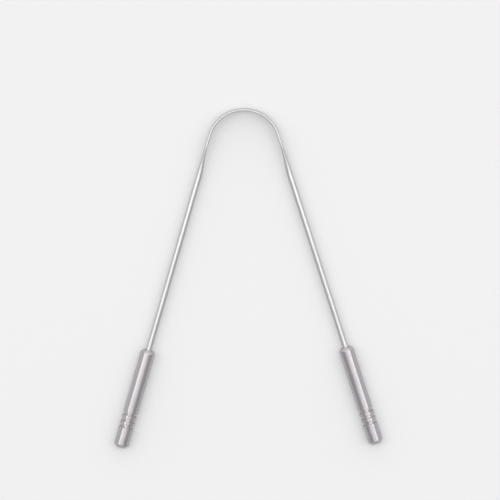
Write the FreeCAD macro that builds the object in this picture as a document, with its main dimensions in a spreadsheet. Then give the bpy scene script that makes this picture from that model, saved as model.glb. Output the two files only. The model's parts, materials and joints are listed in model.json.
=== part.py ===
import FreeCAD, Part
import math
import os

import Sketcher
from FreeCAD import Rotation, Vector

# Tongue scraper: a springy wire bow, rolled flat over its arch, with a turned grip on each end.
# It lies flat: X is across the legs, Y points from the grips to the arch, Z is up.
# The origin is under the middle of the whole object, on the surface that it lies on.

SIZES = {
    # Bow, in millimetres and degrees
    "wire_diameter": 2.5,
    "strip_thickness": 1.0,
    "strip_width": 4.6,
    "strip_set_out": 0.45,  # middle of the strip, outward of the leg's axis
    "arch_radius": 14.7,  # to the middle of the strip's thickness
    "leg_splay": 17.0,  # each leg, from the middle plane
    "strip_straight": 4.5,  # flat strip past each end of the arch
    "taper_length": 14.0,  # from flat strip back to round wire
    "leg_length": 92.5,  # from the end of the arch to the handle's mouth
    "wire_insertion": 22.0,  # wire inside each handle
    "wire_end_chamfer": 0.3,
    # Handle
    "handle_diameter": 6.0,
    "handle_length": 42.2,
    "mouth_chamfer": 1.05,
    "end_chamfer": 1.2,
    "chamfer_ease": 0.35,  # rounding of the chamfers' edges
    "groove_count": 3,
    "groove_width": 1.1,
    "groove_depth": 0.65,
    "groove_pitch": 2.6,
    "groove_to_end": 9.3,  # from the middle of the last groove to the free end
    "groove_ease": 0.15,  # rounding of the grooves' edges
    "bore_clearance": 0.02,  # between wire and bore, all round
    "bore_end_gap": 0.5,  # past the wire's end
    "bore_point_angle": 118.0,  # drill point
    "bore_point_flat": 0.25,  # across the flat that the drill's blunt tip leaves
    "countersink_width": 0.3,  # bore widened all round at the mouth
    "countersink_depth": 0.8,
}

TAPER_STEPS = 20  # short enough that their straight sides follow the taper's curve
SEAM_ANGLE = 1  # half of each short arc of the round wire that a flat of the strip runs into, in degrees
CHAMFER_ANGLE = 45
FULL_TURN = 360
EASE_SHARE = 0.8  # most of a groove's wall, or of half a land, that an eased edge takes
SAME_PLACE = 1e-4  # millimetres
ANY_TURN = 1  # sets the axis of a rotation whose angle an expression then sets

# Points of a sketch, as its constraints number them
START, END, CENTRE = 1, 2, 3  # of a line or an arc
ORIGIN = (-1, 1)

# Expressions shared by the sub-parts
SPLAY = "Sizes.leg_splay * 1deg"
LEG_AXIS = "(Sizes.arch_radius - Sizes.strip_set_out)"  # from the arch's centre, square to the leg
ARCH_BEND = f"((180deg - 2 * {SPLAY}) / 3)"  # each of the arch's three equal bends, which keep its mesh even
STRIP_FLAT = "(Sizes.strip_width - Sizes.strip_thickness)"
ROUND_START = "(Sizes.strip_straight + Sizes.taper_length)"
WIRE_END = "(Sizes.leg_length + Sizes.wire_insertion)"
WIRE_RADIUS = "(Sizes.wire_diameter / 2)"
HANDLE_RADIUS = "(Sizes.handle_diameter / 2)"
BORE_RADIUS = f"({WIRE_RADIUS} + Sizes.bore_clearance)"
LAST_GROOVE = "(Sizes.handle_length - Sizes.groove_to_end)"
REST_HEIGHT = "(max(Sizes.handle_diameter; Sizes.strip_width) / 2)"


def on_leg(distance):
    """Across and along, from the arch's centre, of a place on the right leg's axis past the arch's end."""
    across = f"({LEG_AXIS} * cos({SPLAY}) + {distance} * sin({SPLAY}))"
    along = f"({LEG_AXIS} * sin({SPLAY}) - {distance} * cos({SPLAY}))"
    return across, along


def arch_centre_along():
    """Y of the arch's centre, which puts the origin midway between the arch and the handles' ends."""
    ease_place = "(Sizes.leg_length + Sizes.handle_length - Sizes.chamfer_ease)"
    ease_radius = f"({HANDLE_RADIUS} - Sizes.end_chamfer - Sizes.chamfer_ease * tan({CHAMFER_ANGLE / 2}deg))"
    handles_end = f"({on_leg(ease_place)[1]} - {ease_radius} * sin({SPLAY}) - Sizes.chamfer_ease)"
    arch_end = "(Sizes.arch_radius + Sizes.strip_thickness / 2)"
    return f"(0 - ({handles_end} + {arch_end}) / 2)"


def make_sheet(doc):
    """Spreadsheet with every size under its name."""
    sheet = doc.addObject("Spreadsheet::Sheet", "Sizes")
    for row, (name, value) in enumerate(SIZES.items(), start=1):
        sheet.set(f"A{row}", name)
        sheet.set(f"B{row}", str(value))
        sheet.setAlias(f"B{row}", name)
    doc.recompute()


def origin_item(body, role):
    """One of the axes and planes of the body's own origin."""
    return next(item for item in body.Origin.OriginFeatures if item.Role == role)


def new_sketch(body, name, plane):
    """Sketch on one of the body's own origin planes."""
    sketch = body.newObject("Sketcher::SketchObject", name)
    sketch.AttachmentSupport = [(origin_item(body, plane), "")]
    sketch.MapMode = "FlatFace"
    return sketch


def place_sketch(sketch, axis, angle, **base):
    """Turn the sketch about an axis of its plane and shift it, all by expressions."""
    sketch.AttachmentOffset = FreeCAD.Placement(Vector(), Rotation(axis, ANY_TURN))
    sketch.setExpression("AttachmentOffset.Rotation.Angle", angle)
    for direction, shift in base.items():
        sketch.setExpression(f"AttachmentOffset.Base.{direction}", shift)


def dimension(sketch, name, expression, kind, *elements):
    """Named dimension of a sketch, held to an expression."""
    value = float(sketch.evalExpression(expression))
    index = sketch.addConstraint(Sketcher.Constraint(kind, *elements, value))
    sketch.renameConstraint(index, name)
    sketch.setExpression(f"Constraints.{name}", expression)


def polygon(sketch, corners):
    """Closed outline of straight edges, with both coordinates of every corner held to expressions."""
    points = []
    for across, along in corners:
        place = Vector(float(sketch.evalExpression(across)), float(sketch.evalExpression(along)))
        points.append(place)
    for start, end in zip(points, points[1:] + points[:1]):
        sketch.addGeometry(Part.LineSegment(start, end))
    for edge, (across, along) in enumerate(corners):
        previous = (edge - 1) % len(corners)
        sketch.addConstraint(Sketcher.Constraint("Coincident", previous, END, edge, START))
        dimension(sketch, f"across_{edge}", across, "DistanceX", *ORIGIN, edge, START)
        dimension(sketch, f"along_{edge}", along, "DistanceY", *ORIGIN, edge, START)


def strip_section(sketch, middle, thickness, flat):
    """Section of rolled wire: two flats, up the sketch, joined by half-round edges."""
    flat_end = f"({flat} / 2)"
    centre = float(sketch.evalExpression(middle))
    radius = float(sketch.evalExpression(f"{thickness} / 2"))
    rise = float(sketch.evalExpression(flat_end))
    up = Vector(0, 0, 1)
    outer = Part.LineSegment(Vector(centre + radius, -rise), Vector(centre + radius, rise))
    top = Part.ArcOfCircle(Part.Circle(Vector(centre, rise), up, radius), 0, math.pi)
    inner = Part.LineSegment(Vector(centre - radius, rise), Vector(centre - radius, -rise))
    bottom = Part.ArcOfCircle(Part.Circle(Vector(centre, -rise), up, radius), math.pi, 2 * math.pi)
    edges = sketch.addGeometry([outer, top, inner, bottom])
    for edge in edges:
        sketch.addConstraint(Sketcher.Constraint("Tangent", edge, END, (edge + 1) % len(edges), START))
    sketch.addConstraint(Sketcher.Constraint("Equal", edges[1], edges[3]))
    sketch.addConstraint(Sketcher.Constraint("Vertical", edges[0]))
    dimension(sketch, "middle", middle, "DistanceX", *ORIGIN, edges[1], CENTRE)
    dimension(sketch, "flat_top", flat_end, "DistanceY", *ORIGIN, edges[1], CENTRE)
    dimension(sketch, "flat_bottom", f"(0 - {flat_end})", "DistanceY", *ORIGIN, edges[3], CENTRE)
    dimension(sketch, "edge_radius", f"({thickness} / 2)", "Radius", edges[1])


def round_section(sketch):
    """Section of the unrolled wire, in four arcs that the strip's flats and edges run into."""
    radius = float(sketch.evalExpression(WIRE_RADIUS))
    circle = Part.Circle(Vector(), Vector(0, 0, 1), radius)
    seam = math.radians(SEAM_ANGLE)
    turns = [-seam, seam, math.pi - seam, math.pi + seam, 2 * math.pi - seam]
    arcs = [Part.ArcOfCircle(circle, start, end) for start, end in zip(turns, turns[1:])]
    edges = sketch.addGeometry(arcs)
    for edge in edges:
        sketch.addConstraint(Sketcher.Constraint("Coincident", edge, END, (edge + 1) % len(edges), START))
    for edge in edges[:-1]:
        sketch.addConstraint(Sketcher.Constraint("Coincident", edge, CENTRE, *ORIGIN))
    sketch.addConstraint(Sketcher.Constraint("Equal", edges[0], edges[3]))
    sketch.addConstraint(Sketcher.Constraint("Vertical", edges[0], START, edges[0], END))
    sketch.addConstraint(Sketcher.Constraint("Horizontal", edges[1], START, edges[1], END))
    sketch.addConstraint(Sketcher.Constraint("Horizontal", edges[3], START, edges[3], END))
    dimension(sketch, "wire_radius", WIRE_RADIUS, "Radius", edges[0])
    seam_rise = f"({WIRE_RADIUS} * sin({SEAM_ANGLE}deg))"
    dimension(sketch, "seam_top", seam_rise, "DistanceY", *ORIGIN, edges[0], END)


def leg_section_sketch(body, name, distance):
    """Sketch square to the right leg: its x points outward from the arch's centre and its y is up."""
    sketch = new_sketch(body, name, "XZ_Plane")
    across, along = on_leg(distance)
    place_sketch(sketch, Vector(0, 1, 0), SPLAY, x=across, z=f"(0 - {along})")
    return sketch


def turned(body, kind, name, sketch):
    """Full turn of a half outline about the sketch's vertical axis."""
    feature = body.newObject(kind, name)
    feature.Profile = sketch
    feature.ReferenceAxis = (sketch, ["V_Axis"])
    feature.Angle = FULL_TURN
    return feature


def eased(share, flat, full):
    """Expression for a size on its way from flat strip to round wire, slow at both ends."""
    blend = share * share * (3 - 2 * share)
    return f"({flat} + {blend} * ({full} - {flat}))"


def make_crown(body):
    """Middle bend of the arch."""
    section = new_sketch(body, "crown_section", "YZ_Plane")
    strip_section(section, "Sizes.arch_radius", "Sizes.strip_thickness", STRIP_FLAT)
    crown = body.newObject("PartDesign::Revolution", "crown")
    crown.Profile = section
    crown.ReferenceAxis = (section, ["V_Axis"])
    crown.Midplane = True
    crown.setExpression("Angle", ARCH_BEND)


def make_leg_start(body):
    """Section where the arch ends and the right leg starts."""
    section = leg_section_sketch(body, "leg_start", "0")
    strip_section(section, "Sizes.strip_set_out", "Sizes.strip_thickness", STRIP_FLAT)
    return section


def make_shoulder(body, section):
    """Right bend of the arch, from the leg back to the crown."""
    shoulder = body.newObject("PartDesign::Revolution", "shoulder")
    shoulder.Profile = section
    shoulder.ReferenceAxis = (origin_item(body, "Z_Axis"), [""])
    shoulder.setExpression("Angle", ARCH_BEND)
    return shoulder


def make_straight_strip(body, section):
    """Flat strip that runs on straight past the arch's end."""
    strip = body.newObject("PartDesign::Pad", "straight_strip")
    strip.Profile = section
    strip.setExpression("Length", "Sizes.strip_straight")
    return strip


def make_taper(body):
    """Flat strip drawn back to round wire, with the strip's middle coming back to the leg's axis.

    The area of metal in each section sets how wide the wire has spread at that thickness.
    """
    strip_metal = f"(Sizes.strip_thickness * {STRIP_FLAT} + Sizes.strip_thickness^2 * pi / 4)"
    round_metal = "(Sizes.wire_diameter^2 * pi / 4)"
    sections = []
    for step in range(TAPER_STEPS + 1):
        share = step / TAPER_STEPS
        place = f"(Sizes.strip_straight + {share} * Sizes.taper_length)"
        section = leg_section_sketch(body, f"taper_section_{step}", place)
        if step == TAPER_STEPS:
            round_section(section)
        else:
            middle = eased(share, "Sizes.strip_set_out", "0")
            thickness = eased(share, "Sizes.strip_thickness", "Sizes.wire_diameter")
            metal = eased(share, strip_metal, round_metal)
            flat = f"({metal} / {thickness} - {thickness} * pi / 4)"
            strip_section(section, middle, thickness, flat)
        sections.append(section)
    taper = body.newObject("PartDesign::AdditiveLoft", "taper")
    taper.Profile = sections[0]
    taper.Sections = sections[1:]
    taper.Ruled = True
    return taper


def make_round_leg(body):
    """Round wire from the taper to its chamfered end inside the handle."""
    outline = new_sketch(body, "leg_outline", "XY_Plane")
    across, along = on_leg("0")
    place_sketch(outline, Vector(0, 0, 1), f"180deg + {SPLAY}", x=across, y=along)
    polygon(outline, [
        ("0", ROUND_START),
        (WIRE_RADIUS, ROUND_START),
        (WIRE_RADIUS, f"({WIRE_END} - Sizes.wire_end_chamfer)"),
        (f"({WIRE_RADIUS} - Sizes.wire_end_chamfer)", WIRE_END),
        ("0", WIRE_END),
    ])
    return turned(body, "PartDesign::Revolution", "round_leg", outline)


def make_bow(doc):
    """Whole wire: its crown, and a right side that is mirrored."""
    body = doc.addObject("PartDesign::Body", "scraper_bow")
    make_crown(body)
    leg_start = make_leg_start(body)
    right_side = [
        make_shoulder(body, leg_start),
        make_straight_strip(body, leg_start),
        make_taper(body),
        make_round_leg(body),
    ]
    doc.recompute()
    both_sides = body.newObject("PartDesign::Mirrored", "left_side")
    both_sides.Originals = right_side
    both_sides.MirrorPlane = (origin_item(body, "YZ_Plane"), [""])
    body.Tip = both_sides
    body.setExpression("Placement.Base.y", arch_centre_along())
    body.setExpression("Placement.Base.z", REST_HEIGHT)
    return body


def ring_edges(feature, radius, places):
    """Names of the feature's circular edges of one radius at the given distances from the mouth."""
    names = []
    for number, edge in enumerate(feature.Shape.Edges, start=1):
        if not isinstance(edge.Curve, Part.Circle):
            continue
        if abs(edge.Curve.Radius - radius) > SAME_PLACE:
            continue
        if any(abs(edge.Curve.Center.y - place) < SAME_PLACE for place in places):
            names.append(f"Edge{number}")
    return names


def round_edges(body, name, base, edges, radius):
    """Fillet of the named edges, its radius held to an expression."""
    fillet = body.newObject("PartDesign::Fillet", name)
    fillet.Base = (base, edges)
    fillet.setExpression("Radius", radius)
    return fillet


def make_barrel(body):
    """Plain grip, chamfered at both ends, standing on its mouth along the body's Y."""
    outline = new_sketch(body, "barrel_outline", "XY_Plane")
    polygon(outline, [
        ("0", "0"),
        (f"({HANDLE_RADIUS} - Sizes.mouth_chamfer)", "0"),
        (HANDLE_RADIUS, "Sizes.mouth_chamfer"),
        (HANDLE_RADIUS, "(Sizes.handle_length - Sizes.end_chamfer)"),
        (f"({HANDLE_RADIUS} - Sizes.end_chamfer)", "Sizes.handle_length"),
        ("0", "Sizes.handle_length"),
    ])
    return turned(body, "PartDesign::Revolution", "barrel", outline)


def make_bore(body):
    """Blind bore for the wire, countersunk at the mouth and with a blunt drill point at its end."""
    bore_end = "(Sizes.wire_insertion + Sizes.bore_end_gap)"
    flat_radius = "(Sizes.bore_point_flat / 2)"
    point_depth = f"(({BORE_RADIUS} - {flat_radius}) / tan(Sizes.bore_point_angle * 0.5deg))"
    point_end = f"({bore_end} + {point_depth})"
    outline = new_sketch(body, "bore_outline", "XY_Plane")
    polygon(outline, [
        ("0", "0"),
        (f"({BORE_RADIUS} + Sizes.countersink_width)", "0"),
        (BORE_RADIUS, "Sizes.countersink_depth"),
        (BORE_RADIUS, bore_end),
        (flat_radius, point_end),
        ("0", point_end),
    ])
    return turned(body, "PartDesign::Groove", "bore", outline)


def make_grip_grooves(doc, body):
    """Square-cut grooves turned round the grip near its free end."""
    outline = new_sketch(body, "groove_outline", "XY_Plane")
    bottom = f"({HANDLE_RADIUS} - Sizes.groove_depth)"
    past_surface = f"({HANDLE_RADIUS} + Sizes.groove_depth)"
    first_wall = f"({LAST_GROOVE} - Sizes.groove_width / 2)"
    second_wall = f"({LAST_GROOVE} + Sizes.groove_width / 2)"
    polygon(outline, [
        (bottom, first_wall),
        (past_surface, first_wall),
        (past_surface, second_wall),
        (bottom, second_wall),
    ])
    groove = turned(body, "PartDesign::Groove", "last_groove", outline)
    doc.recompute()
    grooves = body.newObject("PartDesign::LinearPattern", "grip_grooves")
    grooves.Originals = [groove]
    grooves.Direction = (outline, ["V_Axis"])
    grooves.Reversed = True
    grooves.setExpression("Length", "Sizes.groove_pitch * (Sizes.groove_count - 1)")
    grooves.setExpression("Occurrences", "Sizes.groove_count")
    body.Tip = grooves
    return grooves


def ease_grooves(body, grooves):
    """Round the edges of the grooves, as far as their walls and the lands between them allow."""
    places = []
    for number in range(SIZES["groove_count"]):
        middle = SIZES["handle_length"] - SIZES["groove_to_end"] - number * SIZES["groove_pitch"]
        places += [middle - SIZES["groove_width"] / 2, middle + SIZES["groove_width"] / 2]
    edges = ring_edges(grooves, SIZES["handle_diameter"] / 2, places)
    half_land = "(Sizes.groove_pitch - Sizes.groove_width) / 2"
    widest = f"{EASE_SHARE} * min({half_land}; Sizes.groove_depth)"
    radius = f"min(Sizes.groove_ease; {widest})"
    return round_edges(body, "groove_edges", grooves, edges, radius)


def ease_chamfers(body, base):
    """Round the outer edge of both chamfers and the edge of the free end's face."""
    radius = SIZES["handle_diameter"] / 2
    free_end = SIZES["handle_length"]
    edges = ring_edges(base, radius, [SIZES["mouth_chamfer"], free_end - SIZES["end_chamfer"]])
    edges += ring_edges(base, radius - SIZES["end_chamfer"], [free_end])
    return round_edges(body, "chamfer_edges", base, edges, "Sizes.chamfer_ease")


def make_handle(doc, name, side):
    """Grip on one leg: side is 1 on the right and -1 on the left."""
    body = doc.addObject("PartDesign::Body", name)
    make_barrel(body)
    make_bore(body)
    grooves = make_grip_grooves(doc, body)
    doc.recompute()
    eased_grooves = ease_grooves(body, grooves)
    doc.recompute()
    body.Tip = ease_chamfers(body, eased_grooves)
    across, along = on_leg("Sizes.leg_length")
    body.Placement.Rotation = Rotation(Vector(0, 0, 1), ANY_TURN)
    body.setExpression("Placement.Rotation.Angle", f"180deg + {side} * {SPLAY}")
    body.setExpression("Placement.Base.x", f"{side} * {across}")
    body.setExpression("Placement.Base.y", f"{arch_centre_along()} + {along}")
    body.setExpression("Placement.Base.z", REST_HEIGHT)
    return body


def check(doc, subparts):
    """Stop before anything is written if a feature failed or a shape is not sound."""
    failed = [item.Name for item in doc.Objects if {"Invalid", "Error"} & set(item.State)]
    if failed:
        raise RuntimeError(f"features that failed: {failed}")
    for body in subparts:
        if body.Shape.isNull() or not body.Shape.isValid():
            raise RuntimeError(f"{body.Label} has no sound shape")


def main():
    doc = FreeCAD.newDocument("TongueScraper")
    make_sheet(doc)
    subparts = [
        make_bow(doc),
        make_handle(doc, "left_handle", -1),
        make_handle(doc, "right_handle", 1),
    ]
    doc.recompute()
    check(doc, subparts)
    os.makedirs("parts", exist_ok=True)
    for body in subparts:
        body.Shape.exportStep(f"parts/{body.Label}.step")


main()
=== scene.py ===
import json
import math

import bpy
from mathutils import Matrix, Vector


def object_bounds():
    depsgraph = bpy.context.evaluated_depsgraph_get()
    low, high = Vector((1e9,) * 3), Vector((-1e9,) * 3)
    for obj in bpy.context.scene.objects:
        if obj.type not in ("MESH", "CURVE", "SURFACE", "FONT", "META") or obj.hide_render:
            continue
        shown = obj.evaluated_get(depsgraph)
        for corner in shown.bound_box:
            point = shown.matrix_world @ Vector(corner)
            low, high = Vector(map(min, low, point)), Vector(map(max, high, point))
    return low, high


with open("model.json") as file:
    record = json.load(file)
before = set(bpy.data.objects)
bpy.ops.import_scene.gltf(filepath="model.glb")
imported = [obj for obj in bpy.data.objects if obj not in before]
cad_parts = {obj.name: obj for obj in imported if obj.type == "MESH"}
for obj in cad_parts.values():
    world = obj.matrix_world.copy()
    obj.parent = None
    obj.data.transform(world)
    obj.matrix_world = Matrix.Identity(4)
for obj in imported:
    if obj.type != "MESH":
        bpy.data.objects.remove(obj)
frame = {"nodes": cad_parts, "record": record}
cad_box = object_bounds()

# Lengths are in metres, in the part's own frame: X across the legs, Y towards the arch, Z up.
MM = 0.001

# How the photograph shows the object
PHOTO_WIDTH = 500  # pixels
PIXEL_ON_OBJECT = 0.4125 * MM
OBJECT_PIXEL = (246.0, 278.3)  # across and down, where the middle of the object is
VIEW_TILT = math.radians(6.0)  # camera leans over the arch
VIEW_ROLL = math.radians(0.85)
CAMERA_DISTANCE = 1.5
SENSOR_WIDTH = 36.0  # millimetres, as the camera's lens is

# Forms of the wire bow that its finish follows
LEG_SPLAY = math.radians(17.0)
ARCH_RADIUS = 14.7 * MM
ARCH_INSIDE = 14.2 * MM

# Steel of the turned handles
TURNING_LINE = 0.09 * MM
TURNING_BAND = 1.6 * MM
HANDLE_SMUDGE = 5.0 * MM
HANDLE_DARK = (0.45, 0.43, 0.445, 1.0)
HANDLE_LIGHT = (0.585, 0.56, 0.58, 1.0)
HANDLE_ROUGHNESS = (0.24, 0.34)  # least and most
HANDLE_STRETCH = 0.3  # of the highlight, across the turning lines
HANDLE_BUMP = 0.6

# Steel of the drawn wire
DRAWN_LINE = 0.12 * MM
DRAWN_LINE_LENGTH = 9.0 * MM
WIRE_PATCH = 6.0 * MM
WIRE_DARK = (0.55, 0.547, 0.555, 1.0)
WIRE_LIGHT = (0.69, 0.686, 0.696, 1.0)
WIRE_ROUGHNESS = (0.28, 0.4)  # least and most
WIRE_BUMP = 0.5

# Both steels
STEEL_EDGE = (0.65, 0.65, 0.65, 1.0)  # dims reflections at a flat angle, as on real steel
LINE_SHARE = 0.6  # of the lines, where they mix with bands, patches or smudges
LINE_DETAIL = 3.0
SPOT_DETAIL = 2.0  # of bands, patches and smudges
LINE_DEPTH = 0.002 * MM

# Stage
FLOOR_SIZE = 6.0
FLOOR_COLOUR = (0.86, 0.86, 0.86, 1.0)

# Light: place, width and depth in metres, power in watts
KEY_PLACE, KEY_SIZE, KEY_POWER = (0.0, 0.225, 1.6), (4.2, 0.65), 16.7
FILL_PLACE, FILL_SIZE, FILL_POWER = (0.0, -0.65, 1.6), (0.6, 0.4), 1.3
WORLD_COLOUR = (1.0, 1.0, 1.0, 1.0)
WORLD_STRENGTH = (0.38, 1.27)  # on the handles' side, and on the arch's side
WORLD_CURVE = 2.0


def set_input(tree, socket, value):
    """Link the socket to another one, or give it a plain value."""
    if isinstance(value, bpy.types.NodeSocket):
        tree.links.new(value, socket)
    else:
        socket.default_value = value


def add_node(tree, kind, inputs, **settings):
    """New node with its settings, and its inputs by name or number."""
    node = tree.nodes.new(kind)
    for name, value in settings.items():
        setattr(node, name, value)
    for name, value in inputs.items():
        set_input(tree, node.inputs[name], value)
    return node


def math_node(tree, operation, *values):
    """Output of one step of arithmetic."""
    node = add_node(tree, "ShaderNodeMath", dict(enumerate(values)), operation=operation)
    return node.outputs["Value"]


def vector_node(tree, operation, *values, output="Vector"):
    """Output of one step of vector arithmetic."""
    node = add_node(tree, "ShaderNodeVectorMath", dict(enumerate(values)), operation=operation)
    return node.outputs[output]


def blend_values(tree, factor, low, high):
    """Value that goes from low to high as the factor goes from 0 to 1."""
    node = add_node(tree, "ShaderNodeMapRange", {"Value": factor, "To Min": low, "To Max": high})
    return node.outputs["Result"]


def blend_colours(tree, factor, first, second):
    """Colour that goes from the first to the second as the factor goes from 0 to 1."""
    node = add_node(tree, "ShaderNodeMix", {}, data_type="RGBA")
    set_input(tree, node.inputs["Factor"], factor)
    set_input(tree, node.inputs["A"], first)
    set_input(tree, node.inputs["B"], second)
    return node.outputs["Result"]


def noise(tree, coordinates, size, detail):
    """Uneven value whose spots are about the given size."""
    inputs = {"Vector": coordinates, "Scale": 1 / size, "Detail": detail}
    return add_node(tree, "ShaderNodeTexNoise", inputs).outputs["Fac"]


def new_material(name):
    """New material with its shader."""
    material = bpy.data.materials.new(name)
    material.use_nodes = True
    return material, material.node_tree.nodes["Principled BSDF"]


def new_steel(name):
    """New material of bare steel, with its shader."""
    material, shader = new_material(name)
    shader.inputs["Metallic"].default_value = 1.0
    shader.inputs["Specular Tint"].default_value = STEEL_EDGE
    return material, shader


def line_bump(tree, lines, strength):
    """Normal of a surface scored by fine lines."""
    inputs = {"Strength": strength, "Distance": LINE_DEPTH, "Height": lines}
    return add_node(tree, "ShaderNodeBump", inputs).outputs["Normal"]


def turned_steel(name, mount):
    """Satin steel with fine lines turned around the axis of a grip."""
    material, shader = new_steel(name)
    tree = material.node_tree
    axis = Vector(mount["axis"])
    place = add_node(tree, "ShaderNodeTexCoord", {}).outputs["Object"]
    from_axis = vector_node(tree, "SUBTRACT", place, Vector(mount["pos_m"]))
    along = vector_node(tree, "DOT_PRODUCT", from_axis, axis, output="Value")
    around = vector_node(tree, "CROSS_PRODUCT", axis, from_axis)
    radius = vector_node(tree, "LENGTH", around, output="Value")
    across_lines = add_node(tree, "ShaderNodeCombineXYZ", {"X": along, "Y": radius}).outputs["Vector"]
    lines = noise(tree, across_lines, TURNING_LINE, LINE_DETAIL)
    bands = noise(tree, across_lines, TURNING_BAND, SPOT_DETAIL)
    smudges = noise(tree, place, HANDLE_SMUDGE, SPOT_DETAIL)
    tint = blend_values(tree, LINE_SHARE, bands, lines)
    set_input(tree, shader.inputs["Base Color"], blend_colours(tree, tint, HANDLE_DARK, HANDLE_LIGHT))
    wear = blend_values(tree, LINE_SHARE, smudges, lines)
    set_input(tree, shader.inputs["Roughness"], blend_values(tree, wear, *HANDLE_ROUGHNESS))
    shader.inputs["Anisotropic"].default_value = HANDLE_STRETCH
    surface = add_node(tree, "ShaderNodeNewGeometry", {}).outputs["Normal"]
    set_input(tree, shader.inputs["Tangent"], vector_node(tree, "CROSS_PRODUCT", around, surface))
    set_input(tree, shader.inputs["Normal"], line_bump(tree, lines, HANDLE_BUMP))
    return material


def wire_coordinates(tree, arch_centre):
    """Distance out from the arch's centre or the legs' middle, distance along the wire, and height."""
    place = add_node(tree, "ShaderNodeTexCoord", {}).outputs["Object"]
    from_centre = vector_node(tree, "SUBTRACT", place, arch_centre)
    # Both legs are worked out on the right side, where X is how far out from the middle a place is.
    unsigned = vector_node(tree, "ABSOLUTE", from_centre)
    outward = vector_node(tree, "MULTIPLY", unsigned, Vector((1, 0, 0)))
    both = vector_node(tree, "MULTIPLY_ADD", from_centre, Vector((0, 1, 1)), outward)
    across_leg = Vector((math.cos(LEG_SPLAY), math.sin(LEG_SPLAY), 0))
    down_leg = Vector((math.sin(LEG_SPLAY), -math.cos(LEG_SPLAY), 0))
    leg_out = vector_node(tree, "DOT_PRODUCT", both, across_leg, output="Value")
    leg_along = vector_node(tree, "DOT_PRODUCT", both, down_leg, output="Value")
    in_plane = vector_node(tree, "MULTIPLY", both, Vector((1, 1, 0)))
    arch_out = vector_node(tree, "LENGTH", in_plane, output="Value")
    turn = math_node(tree, "ARCTAN2", leg_along, leg_out)
    arch_along = math_node(tree, "MULTIPLY", turn, ARCH_RADIUS)
    on_leg = math_node(tree, "GREATER_THAN", leg_along, 0.0)
    out = blend_values(tree, on_leg, arch_out, leg_out)
    along = blend_values(tree, on_leg, arch_along, leg_along)
    height = add_node(tree, "ShaderNodeSeparateXYZ", {"Vector": both}).outputs["Z"]
    node = add_node(tree, "ShaderNodeCombineXYZ", {"X": out, "Y": along, "Z": height})
    return node.outputs["Vector"]


def drawn_steel(name, arch_centre):
    """Polished steel wire with fine lines drawn along it."""
    material, shader = new_steel(name)
    tree = material.node_tree
    wire = wire_coordinates(tree, arch_centre)
    stretched = vector_node(tree, "MULTIPLY", wire, Vector((1, DRAWN_LINE / DRAWN_LINE_LENGTH, 1)))
    lines = noise(tree, stretched, DRAWN_LINE, LINE_DETAIL)
    patches = noise(tree, wire, WIRE_PATCH, SPOT_DETAIL)
    tint = blend_values(tree, LINE_SHARE, patches, lines)
    set_input(tree, shader.inputs["Base Color"], blend_colours(tree, tint, WIRE_DARK, WIRE_LIGHT))
    set_input(tree, shader.inputs["Roughness"], blend_values(tree, lines, *WIRE_ROUGHNESS))
    set_input(tree, shader.inputs["Normal"], line_bump(tree, lines, WIRE_BUMP))
    return material


def dress_nodes():
    """Give each CAD node its finish."""
    mounts = {mount["name"]: mount for mount in frame["record"]["mounts"]}
    arch_centre = Vector(mounts["hanging_arch"]["pos_m"]) - Vector((0, ARCH_INSIDE, 0))
    finishes = {
        "left_handle": turned_steel("left_handle_steel", mounts["left_grip"]),
        "right_handle": turned_steel("right_handle_steel", mounts["right_grip"]),
        "scraper_bow": drawn_steel("bow_wire_steel", arch_centre),
    }
    for name, material in finishes.items():
        frame["nodes"][name].material_slots[0].material = material


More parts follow.
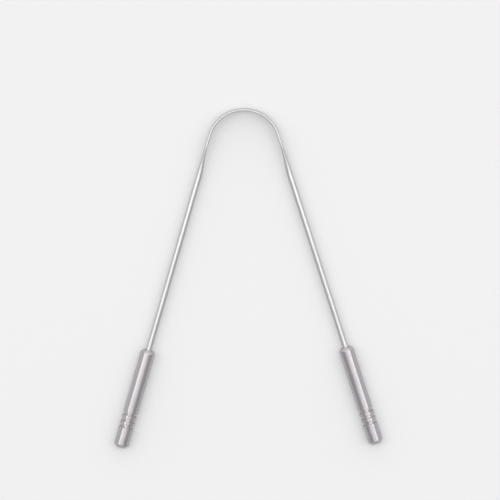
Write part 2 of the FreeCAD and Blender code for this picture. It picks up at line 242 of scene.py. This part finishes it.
def make_camera():
    """Long lens, looking down on the object as the photograph does."""
    camera = bpy.data.objects.new("camera", bpy.data.cameras.new("camera"))
    bpy.context.scene.collection.objects.link(camera)
    bpy.context.scene.camera = camera
    camera.data.sensor_width = SENSOR_WIDTH
    camera.data.lens = SENSOR_WIDTH * CAMERA_DISTANCE / (PHOTO_WIDTH * PIXEL_ON_OBJECT)
    turn = Matrix.Rotation(-VIEW_TILT, 3, "X") @ Matrix.Rotation(-VIEW_ROLL, 3, "Z")
    right = (PHOTO_WIDTH / 2 - OBJECT_PIXEL[0]) * PIXEL_ON_OBJECT
    up = (OBJECT_PIXEL[1] - PHOTO_WIDTH / 2) * PIXEL_ON_OBJECT
    middle = (cad_box[0] + cad_box[1]) / 2
    place = middle + turn @ Vector((right, up, CAMERA_DISTANCE))
    camera.matrix_world = Matrix.Translation(place) @ turn.to_4x4()


def make_floor():
    """Plain pale sheet that the object lies on."""
    bpy.ops.mesh.primitive_plane_add(size=FLOOR_SIZE, location=(0, 0, cad_box[0].z))
    floor = bpy.context.object
    floor.name = "floor"
    material, shader = new_material("floor_paper")
    shader.inputs["Base Color"].default_value = FLOOR_COLOUR
    shader.inputs["Roughness"].default_value = 1.0
    shader.inputs["Specular IOR Level"].default_value = 0.0
    floor.data.materials.append(material)


def make_softbox(name, place, size, power):
    """Flat softbox that shines straight down."""
    light = bpy.data.lights.new(name, "AREA")
    light.shape = "RECTANGLE"
    light.size, light.size_y = size
    light.energy = power
    softbox = bpy.data.objects.new(name, light)
    bpy.context.scene.collection.objects.link(softbox)
    softbox.location = place


def make_world():
    """Dim studio, lighter towards the arch's side."""
    world = bpy.data.worlds.new("studio")
    bpy.context.scene.world = world
    world.use_nodes = True
    tree = world.node_tree
    direction = add_node(tree, "ShaderNodeTexCoord", {}).outputs["Generated"]
    towards_arch = add_node(tree, "ShaderNodeSeparateXYZ", {"Vector": direction}).outputs["Y"]
    # A direction's Y runs from -1 to 1, and the share of light from 0 to 1.
    to_share = add_node(tree, "ShaderNodeMapRange", {"Value": towards_arch, "From Min": -1.0})
    curve = math_node(tree, "POWER", to_share.outputs["Result"], WORLD_CURVE)
    background = tree.nodes["Background"]
    background.inputs["Color"].default_value = WORLD_COLOUR
    set_input(tree, background.inputs["Strength"], blend_values(tree, curve, *WORLD_STRENGTH))


bpy.context.scene.view_settings.view_transform = "Standard"
make_camera()
make_floor()
make_world()
make_softbox("key", KEY_PLACE, KEY_SIZE, KEY_POWER)
make_softbox("fill", FILL_PLACE, FILL_SIZE, FILL_POWER)
dress_nodes()
